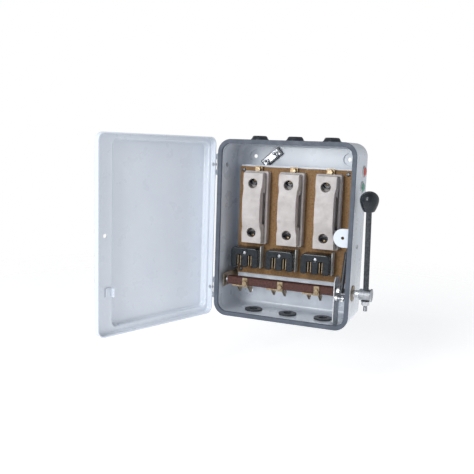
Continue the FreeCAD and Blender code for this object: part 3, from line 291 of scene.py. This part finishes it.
looks = {
    "enclosure_paint": finish_of(
        "enamel", tones=((0.66, 0.70, 0.77), (0.69, 0.73, 0.79)), tone_scale=14.0, rough=(0.24, 0.36),
        grain_scale=420.0, grain_height=0.03 * mm, coat=0.35, spots=(0.55, 0.58, 0.63),
        spot_scale=30.0, spot_amount=0.04),
    "gasket_rubber": finish_of(
        "gasket", tones=((0.060, 0.074, 0.100), (0.085, 0.100, 0.132)), tone_scale=60.0,
        rough=(0.45, 0.65), grain_scale=900.0, grain_height=0.05 * mm, worn=(0.20, 0.23, 0.29)),
    "bush_rubber": finish_of(
        "bush", tones=((0.012, 0.015, 0.02), (0.03, 0.035, 0.045)), tone_scale=90.0, rough=(0.35, 0.6),
        grain_scale=1500.0, grain_height=0.05 * mm, spots=(0.10, 0.11, 0.13), spot_scale=140.0,
        spot_amount=0.3),
    "marker_red": finish_of(
        "red_lens", tones=((0.42, 0.03, 0.02), (0.52, 0.06, 0.03)), tone_scale=150.0, rough=(0.12, 0.25),
        grain_scale=800.0, grain_height=0.02 * mm, coat=0.8),
    "marker_green": finish_of(
        "green_lens", tones=((0.04, 0.20, 0.13), (0.07, 0.30, 0.20)), tone_scale=150.0,
        rough=(0.12, 0.25), grain_scale=800.0, grain_height=0.02 * mm, coat=0.8),
    "brass": finish_of(
        "brass", tones=((0.17, 0.115, 0.062), (0.27, 0.195, 0.120)), tone_scale=110.0, rough=(0.25, 0.5),
        grain_scale=1400.0, grain_height=0.04 * mm, metal=1.0, stretch=(1.0, 1.0, 3.0),
        spots=(0.20, 0.12, 0.07), spot_scale=170.0, spot_amount=0.6, worn=(0.55, 0.45, 0.32),
        # Painted shade colour for the brass's hollows, laid on by ambient occlusion.
        painted_hollow_shade=(0.04, 0.03, 0.02)),
    "zinc_steel": finish_of(
        "zinc", tones=((0.34, 0.35, 0.37), (0.50, 0.51, 0.54)), tone_scale=130.0, rough=(0.28, 0.46),
        grain_scale=1600.0, grain_height=0.03 * mm, metal=1.0, stretch=(2.5, 1.0, 1.0),
        spots=(0.40, 0.40, 0.42), spot_scale=120.0, spot_amount=0.35, worn=(0.80, 0.80, 0.82)),
    "laminate_board": finish_of(
        "laminate", tones=((0.155, 0.070, 0.022), (0.215, 0.105, 0.034)), tone_scale=30.0,
        rough=(0.45, 0.65), grain_scale=1300.0, grain_height=0.03 * mm, stretch=(3.0, 1.0, 1.0),
        spots=(0.09, 0.045, 0.02), spot_scale=45.0, spot_amount=0.35, worn=(0.36, 0.22, 0.10),
        specular=0.25),
    "porcelain": finish_of(
        "porcelain", tones=((0.41, 0.373, 0.362), (0.53, 0.485, 0.473)), tone_scale=60.0,
        rough=(0.34, 0.56), grain_scale=900.0, grain_height=0.14 * mm, spots=(0.20, 0.165, 0.150),
        spot_scale=110.0, spot_amount=0.45, worn=(0.62, 0.59, 0.58), worn_amount=0.5,
        # Painted shade colour for the porcelain's hollows, laid on by ambient occlusion.
        painted_hollow_shade=(0.10, 0.08, 0.075)),
    "black_moulding": finish_of(
        "moulding", tones=((0.008, 0.011, 0.015), (0.014, 0.019, 0.025)), tone_scale=60.0,
        rough=(0.22, 0.36), grain_scale=1200.0, grain_height=0.03 * mm, coat=0.25,
        spots=(0.07, 0.08, 0.09), spot_scale=90.0, spot_amount=0.2, worn=(0.09, 0.11, 0.13),
        worn_amount=0.4, specular=0.30),
    "fibre_sheet": finish_of(
        "fibre", tones=((0.50, 0.51, 0.50), (0.60, 0.60, 0.58)), tone_scale=90.0, rough=(0.6, 0.85),
        grain_scale=1500.0, grain_height=0.08 * mm, stretch=(1.0, 1.0, 5.0)),
    "black_paint": finish_of(
        "lever_enamel", tones=((0.009, 0.011, 0.014), (0.015, 0.018, 0.022)), tone_scale=70.0,
        rough=(0.34, 0.52), grain_scale=700.0, grain_height=0.05 * mm, coat=0.05,
        worn=(0.09, 0.10, 0.11), specular=0.30),
    "red_laminate": finish_of(
        "red_laminate", tones=((0.022, 0.0075, 0.006), (0.038, 0.012, 0.009)), tone_scale=50.0,
        rough=(0.40, 0.60), grain_scale=1200.0, grain_height=0.05 * mm, stretch=(0.4, 2.0, 2.0),
        spots=(0.03, 0.01, 0.01), spot_scale=70.0, worn=(0.12, 0.045, 0.035), specular=0.30),
    "spring_steel": finish_of(
        "spring_wire", tones=((0.10, 0.105, 0.115), (0.20, 0.21, 0.22)), tone_scale=200.0,
        rough=(0.3, 0.5), grain_scale=2000.0, grain_height=0.02 * mm, metal=1.0,
        spots=(0.05, 0.045, 0.04), spot_scale=260.0),
    "copper": finish_of(
        "copper", tones=((0.55, 0.33, 0.20), (0.70, 0.45, 0.30)), tone_scale=120.0, rough=(0.3, 0.5),
        grain_scale=1500.0, grain_height=0.03 * mm, metal=1.0, spots=(0.22, 0.12, 0.08),
        spot_scale=160.0),
    "tinned_wire": finish_of(
        "tinned_wire", tones=((0.60, 0.60, 0.61), (0.75, 0.75, 0.76)), tone_scale=300.0,
        rough=(0.3, 0.5), grain_scale=2500.0, grain_height=0.01 * mm, metal=1.0),
}


# ---------------------------------------------------------------- mesh tools

kept_faces = 0.5
wander_scale = 90.0


def in_mm(profile):
    """Turns pairs of numbers in millimetres into metres."""
    return [(across * mm, along * mm) for across, along in profile]


def link(name, mesh):
    thing = bpy.data.objects.new(name, mesh)
    bpy.context.collection.objects.link(thing)
    return thing


def from_bmesh(name, made):
    bmesh.ops.recalc_face_normals(made, faces=made.faces)
    mesh = bpy.data.meshes.new(name)
    made.to_mesh(mesh)
    made.free()
    return link(name, mesh)


def settle(thing):
    """Applies all of an object's modifiers to its mesh."""
    graph = bpy.context.evaluated_depsgraph_get()
    mesh = bpy.data.meshes.new_from_object(thing.evaluated_get(graph))
    thing.modifiers.clear()
    thing.data = mesh


def smooth(thing, angle=35.0):
    for face in thing.data.polygons:
        face.use_smooth = True
    thing.data.set_sharp_from_angle(angle=math.radians(angle))
    return thing


def frame_along(direction):
    """A rotation that takes local Z to a direction."""
    return Vector(direction).to_track_quat("Z", "Y").to_matrix().to_4x4()


def standing(place, direction):
    """Moves a shape made about local Z to a place, with its Z along a direction."""
    return Matrix.Translation(place) @ frame_along(direction)


def circle_point(radius, angle, height):
    return Vector((radius * math.cos(angle), radius * math.sin(angle), height))


def prism(name, outline, low, high):
    """A closed prism of an outline in local X and Y, between two heights."""
    made = bmesh.new()
    rings = [[made.verts.new((across, up, level)) for across, up in outline] for level in (low, high)]
    made.faces.new(rings[0])
    made.faces.new(list(reversed(rings[1])))
    count = len(outline)
    for number in range(count):
        following = (number + 1) % count
        made.faces.new((rings[0][number], rings[0][following], rings[1][following], rings[1][number]))
    return from_bmesh(name, made)


def slab(name, low, high):
    """A box between two corners."""
    outline = [(low[0], low[1]), (high[0], low[1]), (high[0], high[1]), (low[0], high[1])]
    return prism(name, outline, low[2], high[2])


def lathe(name, profile, place, steps=48):
    """Turns (radius, height) points about local Z; a radius of 0 closes the end."""
    made = bmesh.new()
    rings = []
    for radius, height in profile:
        if radius < 1e-7:
            rings.append([made.verts.new((0.0, 0.0, height))])
            continue
        rings.append([made.verts.new(circle_point(radius, 2 * math.pi * step / steps, height))
                      for step in range(steps)])
    pairs = list(zip(rings, rings[1:]))
    if len(rings[0]) > 1 and len(rings[-1]) > 1:
        pairs.append((rings[-1], rings[0]))
    for lower, upper in pairs:
        for step in range(steps):
            following = (step + 1) % steps
            if len(lower) == 1:
                made.faces.new((lower[0], upper[following], upper[step]))
            elif len(upper) == 1:
                made.faces.new((lower[step], lower[following], upper[0]))
            else:
                made.faces.new((lower[step], lower[following], upper[following], upper[step]))
    thing = from_bmesh(name, made)
    thing.data.transform(place)
    return thing


def wire_along(name, path, radius, steps):
    """A round wire along a list of points, with its ends capped."""
    made = bmesh.new()
    rings = []
    last = len(path) - 1
    side = (path[1] - path[0]).orthogonal().normalized()
    for number, point in enumerate(path):
        along = (path[min(number + 1, last)] - path[max(number - 1, 0)]).normalized()
        side = (side - along * side.dot(along)).normalized()
        other = along.cross(side)
        ring = []
        for step in range(steps):
            angle = 2 * math.pi * step / steps
            ring.append(made.verts.new(point + radius * (side * math.cos(angle) + other * math.sin(angle))))
        rings.append(ring)
    made.faces.new(list(reversed(rings[0])))
    made.faces.new(rings[-1])
    for lower, upper in zip(rings, rings[1:]):
        for step in range(steps):
            following = (step + 1) % steps
            made.faces.new((lower[step], lower[following], upper[following], upper[step]))
    return from_bmesh(name, made)


def curve_through(points, steps=4):
    """A smooth run of points through the given ones."""
    dense = []
    last = len(points) - 1
    for number in range(last):
        run = (points[max(number - 1, 0)], points[number], points[number + 1],
               points[min(number + 2, last)])
        for step in range(steps):
            t = step / steps
            dense.append(tuple(
                0.5 * (2 * b + (c - a) * t + (2 * a - 5 * b + 4 * c - d) * t * t
                       + (3 * b - a - 3 * c + d) * t ** 3)
                for a, b, c, d in zip(*run)))
    dense.append(points[-1])
    return dense


def combine(thing, tool, operation="DIFFERENCE"):
    """Cuts one new piece with another, or keeps what they share."""
    step = thing.modifiers.new("combine", "BOOLEAN")
    step.operation = operation
    step.solver = "EXACT"
    step.object = tool
    settle(thing)
    bpy.data.objects.remove(tool)


def joined(name, things):
    """Makes one object of several without changing their shapes."""
    made = bmesh.new()
    for thing in things:
        made.from_mesh(thing.data)
        bpy.data.objects.remove(thing)
    mesh = bpy.data.meshes.new(name)
    made.to_mesh(mesh)
    made.free()
    return link(name, mesh)


def soften(thing, voxel, passes, wander):
    """Rounds every edge as a fired or moulded piece has it, with a slight unevenness."""
    skin = thing.modifiers.new("skin", "REMESH")
    skin.mode = "VOXEL"
    skin.voxel_size = voxel
    relax = thing.modifiers.new("relax", "SMOOTH")
    relax.factor = 0.5
    relax.iterations = passes
    thin = thing.modifiers.new("thin", "DECIMATE")
    thin.ratio = kept_faces
    settle(thing)
    for vertex in thing.data.vertices:
        vertex.co += wander * noise.noise_vector(vertex.co * wander_scale)
    smooth(thing, 60.0)


def bevel(thing, width):
    step = thing.modifiers.new("bevel", "BEVEL")
    step.width = width
    step.segments = 2
    step.limit_method = "ANGLE"
    step.angle_limit = math.radians(35.0)
    step.harden_normals = False


def place_piece(thing, body, slot_name, *stands_for):
    """Gives a new piece its surface and its body, and hides the CAD nodes it stands for."""
    thing.data.materials.clear()
    thing.data.materials.append(looks[slot_name])
    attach(thing, body)
    if stands_for:
        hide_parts(*stands_for)


def middle_of(node):
    low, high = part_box(node)
    return (low + high) / 2


# ---------------------------------------------------------------- carried-over CAD nodes

sheet_edge = 0.35 * mm
part_edge = 0.45 * mm
sheet_nodes = ("mounting_tray", "mechanism_plate", "bar_bracket", "lid_catch", "lid_interlock",
               "box_hinge_leaves", "lid_hinge_leaves")
crisp_nodes = ("base_board", "fixed_jaws", "line_terminals", "contact_clamps", "contact_bar", "bar_pivot",
               "crank_arm", "crank_pin", "lever_nut", "spring_anchor", "operating_shaft", "shaft_bush",
               "phase_barriers", "hinge_pins", "box_hinge_rivets", "lid_hinge_rivets", "rim_gasket")
crisp_in_each_pole = ("moving_contact", "fuse_clips", "carrier_blades")


def dress_cad_nodes():
    """Gives every CAD node its surface, and takes the dead-sharp edges off the metal and the rubber."""
    slots = {part["node"]: part["material_slot"] for part in frame["record"]["subparts"]}
    for name, thing in nodes.items():
        thing.data.materials.clear()
        thing.data.materials.append(looks[slots[name]])
    for name in sheet_nodes:
        bevel(nodes[name], sheet_edge)
    for name in crisp_nodes:
        bevel(nodes[name], part_edge)
    for stem in crisp_in_each_pole:
        for pole in poles:
            bevel(nodes["%s_%d" % (stem, pole)], part_edge)


# ---------------------------------------------------------------- porcelain and moulded pieces

well_floor = 4.5 * mm
well_inset = 5 * mm
# Profile of the black cup that lines each carrier hole as painted shade.
shade_cup_profile = ((0.0, -0.4), (7.7, -0.4), (7.7, 9.0), (7.1, 9.0), (6.8, 0.6), (0.0, 0.4))
carrier_screw = (3.3 * mm, 2.0 * mm)


def refine(node, slot_name, body, voxel, passes, wander):
    """The node's own shape with the soft edges and the slight unevenness of a fired or moulded piece."""
    thing = link(node + "_skin", nodes[node].data.copy())
    soften(thing, voxel, passes, wander)
    place_piece(thing, body, slot_name, node)


def slotted_screw(place, radius, height, turn):
    """A round-headed screw with a driver slot; its head stands out to the front."""
    profile = [(0.0, 0.0), (radius, 0.0), (radius, 0.35 * height), (0.93 * radius, 0.62 * height),
               (0.74 * radius, 0.84 * height), (0.42 * radius, 0.97 * height), (0.0, height)]
    head = lathe("head", profile, Matrix.Identity(4), 32)
    slot = slab("slot", (-1.2 * radius, -0.13 * radius, 0.5 * height),
                (1.2 * radius, 0.13 * radius, 1.2 * height))
    slot.data.transform(Matrix.Rotation(turn, 4, "Z"))
    combine(head, slot)
    head.data.transform(standing(place, front_way))
    return smooth(head)


def make_porcelain():
    """Bases and pull-out carriers; each carrier has a terminal screw deep in each of its two holes, and a
    black cup lining each hole as painted shade.
    """
    for pole in poles:
        carrier = "fuse_carrier_%d" % pole
        body = "fuse_%d" % pole
        refine("fuse_base_%d" % pole, "porcelain", "enclosure", 0.8 * mm, 5, 0.10 * mm)
        refine(carrier, "porcelain", body, 0.6 * mm, 7, 0.12 * mm)
        low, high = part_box("carrier_blades_%d" % pole)
        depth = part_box(carrier)[1].y - well_floor
        heads = []
        shade_cups = []
        for number, level in enumerate((low.z + well_inset, high.z - well_inset)):
            place = Vector(((low.x + high.x) / 2, depth, level))
            heads.append(slotted_screw(place, *carrier_screw, turn=0.6 + pole + number))
            # A black cup lining the hole: painted shade for its dark inside.
            shade_cups.append(lathe("well", in_mm(shade_cup_profile), standing(place, front_way)))
        place_piece(joined("carrier_screws_%d" % pole, heads), body, "brass")
        place_piece(smooth(joined("carrier_shade_cups_%d" % pole, shade_cups)), body, "black_moulding")


def make_arc_shields():
    for pole in poles:
        refine("arc_shield_%d" % pole, "black_moulding", "enclosure", 0.6 * mm, 4, 0.06 * mm)


# ---------------------------------------------------------------- screws and studs

board_screw = (3.4 * mm, 2.2 * mm)
board_screw_inset = 3.5 * mm
shield_screw = (3.1 * mm, 1.6 * mm)

stud_radius = 2.5 * mm
stud_length = 19.9 * mm
stud_offset = Vector((7.66, 0.0, 6.43)) * mm
thread_pitch = 0.8 * mm
washer_profile = ((0.0, 9.0), (5.3, 9.0), (5.5, 9.2), (5.5, 10.2), (5.3, 10.4), (0.0, 10.4))
washer_top = 10.4 * mm
nut_flats = 8.0 * mm
nut_height = 4.4 * mm
chamfer = 0.1 * mm


def make_board_screws():
    """A screw near each corner of the laminate board."""
    low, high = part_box("board_screws")
    radius, height = board_screw
    depth = low.y + height
    heads = []
    for z in (low.z + board_screw_inset, high.z - board_screw_inset):
        for x in (low.x + board_screw_inset, high.x - board_screw_inset):
            heads.append(slotted_screw(Vector((x, depth, z)), radius, height, turn=1.1 * len(heads)))
    place_piece(joined("board_screw_heads", heads), "enclosure", "spring_steel", "board_screws")


def make_shield_screws():
    """A slotted screw at the bottom of each arc shield's well."""
    low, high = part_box("shield_screws")
    radius, height = shield_screw
    heads = []
    for pole in poles:
        across = middle_of("arc_shield_%d" % pole).x
        place = Vector((across, low.y + height, (low.z + high.z) / 2))
        heads.append(slotted_screw(place, radius, height, turn=0.4 + 1.3 * (pole - 1)))
    place_piece(joined("shield_screw_heads", heads), "enclosure", "zinc_steel", "shield_screws")


def threaded_stud(place):
    """A stud with a ridge for every turn of its thread and a bevelled tip."""
    profile = [(0.0, 0.0), (stud_radius, 0.0)]
    level = thread_pitch
    while level < stud_length - 1.5 * thread_pitch:
        profile += [(0.88 * stud_radius, level), (stud_radius, level + thread_pitch / 2)]
        level += thread_pitch
    profile += [(0.9 * stud_radius, stud_length - thread_pitch), (0.55 * stud_radius, stud_length),
                (0.0, stud_length)]
    return smooth(lathe("stud", profile, standing(place, front_way), 28), 50.0)


def hexagon_nut(place, turn):
    """A hexagon nut whose corners are turned down on both faces."""
    corner = nut_flats / math.sqrt(3)
    outline = [tuple(circle_point(corner, math.pi / 3 * side, 0.0).xy) for side in range(6)]
    nut = prism("nut", outline, 0.0, nut_height)
    dome = lathe("dome", [(0.0, -chamfer), (0.90 * corner, -chamfer), (1.02 * corner, 0.18 * nut_height),
                          (1.02 * corner, 0.82 * nut_height), (0.90 * corner, nut_height + chamfer),
                          (0.0, nut_height + chamfer)], Matrix.Identity(4))
    combine(nut, dome, "INTERSECT")
    nut.data.transform(standing(place, front_way) @ Matrix.Rotation(turn, 4, "Z"))
    return smooth(nut)


def make_neutral_studs():
    """The neutral link's two threaded studs, each with its washer and nut; the link sits aslant."""
    seat = middle_of("neutral_studs")
    seat.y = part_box("neutral_studs")[1].y
    pieces = []
    for side in (-1, 1):
        at = seat + side * stud_offset
        pieces.append(threaded_stud(at))
        pieces.append(smooth(lathe("washer", in_mm(washer_profile), standing(at, front_way))))
        pieces.append(hexagon_nut(at + washer_top * front_way, 0.3 + 0.5 * side))
    place_piece(joined("neutral_stud_set", pieces), "enclosure", "zinc_steel", "neutral_studs")


# ---------------------------------------------------------------- bushes and markers

bush_nose = 7.0 * mm
bush_flange = 15.0 * mm
bush_profile = ((7.0, -4.1), (15.0, -4.1), (15.0, -1.6), (11.5, -1.6), (11.5, 0.0), (14.2, 0.0),
                (14.9, 0.5), (14.9, 1.2), (14.2, 1.7), (13.4, 1.9), (13.2, 2.4), (13.6, 2.9),
                (13.1, 3.5), (12.5, 3.7), (12.3, 4.2), (12.6, 4.7), (12.1, 5.3), (11.6, 5.6),
                (11.0, 6.4), (9.9, 6.9), (8.4, 7.0), (7.4, 6.6), (7.0, 5.9))

# Parts of the marker's radius.
bezel_profile = ((0.78, 0.0), (1.0, 0.0), (1.0, 0.10), (0.96, 0.17), (0.88, 0.20), (0.80, 0.17),
                 (0.78, 0.12))
lens_profile = ((0.0, 0.0), (0.79, 0.0), (0.79, 0.12), (0.74, 0.24), (0.62, 0.35), (0.45, 0.43),
                (0.24, 0.475), (0.0, 0.485))


def make_cable_bushes():
    """Ribbed rubber bushes: a flange inside the wall and a soft cone outside that grips the cable."""
    for node, way in (("top_cable_bushes", 1.0), ("bottom_cable_bushes", -1.0)):
        low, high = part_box(node)
        middle = middle_of(node)
        wall = high.z - bush_nose if way > 0 else low.z + bush_nose
        spacing = (high.x - low.x) / 2 - bush_flange
        bushes = []
        for step in (-1, 0, 1):
            seat = standing((middle.x + step * spacing, middle.y, wall), (0.0, 0.0, way))
            bushes.append(smooth(lathe("bush", in_mm(bush_profile), seat, 64)))
        place_piece(joined(node + "_ribbed", bushes), "enclosure", "bush_rubber", node)


def make_markers():
    """Domed coloured lenses, each in a plain metal bezel, on the right wall."""
    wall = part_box("box_shell")[1].x
    for node in ("marker_red", "marker_green"):
        low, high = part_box(node)
        middle = middle_of(node)
        radius = (high.z - low.z) / 2
        seat = standing((wall, middle.y, middle.z), right_way)
        bezel = lathe(node + "_bezel", [(r * radius, h * radius) for r, h in bezel_profile], seat, 64)
        place_piece(smooth(bezel), "enclosure", "zinc_steel")
        lens = lathe(node + "_lens", [(r * radius, h * radius) for r, h in lens_profile], seat, 64)
        place_piece(smooth(lens, 50.0), "enclosure", node, node)


# ---------------------------------------------------------------- lever

# Lengths in millimetres; heights run along the rod from the shaft's axis.
lever_tilt = math.radians(7.0)
lever_way = Vector((0.0, -math.sin(lever_tilt), math.cos(lever_tilt)))
thread_foot = -27.0
thread_top = -10.0
thread_turns = 16
thread_radius = 3.2
thread_root = 2.75
rod_foot = -9.8
rod_top = 143.0
rod_radius = 4.3
knob_half_length = 15.5


def make_lever():
    """The painted rod with its threaded foot, the pear-shaped knob and the turned hub."""
    shaft = middle_of("operating_shaft")
    hub_low, hub_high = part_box("handle_hub")
    hub_middle = Vector(((hub_low.x + hub_high.x) / 2, shaft.y, shaft.z))
    along = standing(hub_middle, lever_way)

    thread = [(0.0, thread_foot), (2.4, thread_foot), (3.1, thread_foot + 0.8)]
    for turn in range(thread_turns):
        ridge = thread_foot + 1.0 + turn
        thread += [(thread_radius, ridge), (thread_root, ridge + 0.5)]
    thread += [(thread_radius, thread_top), (0.0, thread_top)]
    foot = lathe("lever_thread", in_mm(thread), along, 32)
    place_piece(smooth(foot, 40.0), "handle", "zinc_steel")

    rod = [(0.0, rod_foot), (rod_radius, rod_foot), (rod_radius, rod_top), (0.0, rod_top)]
    shaped = lathe("lever_rod", in_mm(rod), along, 32)
    place_piece(smooth(shaped, 40.0), "handle", "black_paint", "handle_rod")

    knob_low, knob_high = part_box("handle_knob")
    wide = (knob_high.x - knob_low.x) / 2 / mm
    half = knob_half_length
    crown = [(0.0, half), (0.38 * wide, half - 0.9), (0.72 * wide, half - 3.9),
             (0.93 * wide, half - 8.0), (wide, half - 12.5), (0.96 * wide, half - 17.5),
             (0.84 * wide, half - 23.0), (0.66 * wide, -half + 2.2), (0.56 * wide, -half + 0.3),
             (0.40 * wide, -half)]
    pear = [(abs(radius), height) for radius, height in curve_through(crown)] + [(0.0, -half)]
    ball = lathe("lever_knob", in_mm(pear), standing(middle_of("handle_knob"), lever_way), 64)
    place_piece(smooth(ball, 50.0), "handle", "black_moulding", "handle_knob")

    length = (hub_high.x - hub_low.x) / mm
    turned = [(0.0, 0.0), (7.6, 0.0), (8.6, 0.4), (9.0, 1.2), (9.0, length - 3.6), (9.3, length - 3.0),
              (10.2, length - 2.4), (10.2, length - 1.0), (9.6, length - 0.2), (8.4, length),
              (7.0, length), (6.6, length - 0.5), (0.0, length - 0.5)]
    barrel = lathe("lever_hub", in_mm(turned), standing((hub_low.x, shaft.y, shaft.z), right_way), 64)
    place_piece(smooth(barrel, 40.0), "handle", "zinc_steel", "handle_hub")


# ---------------------------------------------------------------- spring

anchor_stud = Vector((98.0, -56.0, -17.0)) * mm
crank_pin = Vector((98.0, -86.5, -94.9)) * mm
spring_radius = 3.5 * mm
spring_wire = 0.55 * mm
coil_pitch = 2.25 * spring_wire
coil_steps = 12
neck_length = 8.5 * mm
eye_radius = 3.128 * mm
eye_steps = 13
eye_sweep = 300.0
top_eye_start = -60.0
foot_eye_start = 120.0


def eye_points(centre, way, other, start):
    """The open loop of wire at one end of the spring."""
    points = []
    for step in range(eye_steps + 1):
        angle = math.radians(start + eye_sweep * step / eye_steps)
        points.append(centre + eye_radius * (other * math.sin(angle) - way * math.cos(angle)))
    return points


def make_toggle_spring():
    """A close-wound tension spring with an eye at each end, from the anchor stud to the crank's pin."""
    way = (crank_pin - anchor_stud).normalized()
    other = way.cross(right_way)
    wound = (crank_pin - anchor_stud).length - 2 * neck_length
    count = coil_steps * int(wound / coil_pitch)
    coil = spring_radius - spring_wire
    path = eye_points(anchor_stud, way, other, top_eye_start)
    for step in range(count + 1):
        angle = 2 * math.pi * step / coil_steps
        level = neck_length + wound * step / count
        turn = right_way * math.sin(angle) + other * math.cos(angle)
        path.append(anchor_stud + way * level + coil * turn)
    path += eye_points(crank_pin, way, other, foot_eye_start)
    spring = wire_along("toggle_spring_coils", path, spring_wire, 7)
    place_piece(smooth(spring, 60.0), "spring", "spring_steel", "toggle_spring")


make_camera()
make_studio()
dress_cad_nodes()
make_porcelain()
make_arc_shields()
make_board_screws()
make_neutral_studs()
make_shield_screws()
make_cable_bushes()
make_markers()
make_lever()
make_toggle_spring()
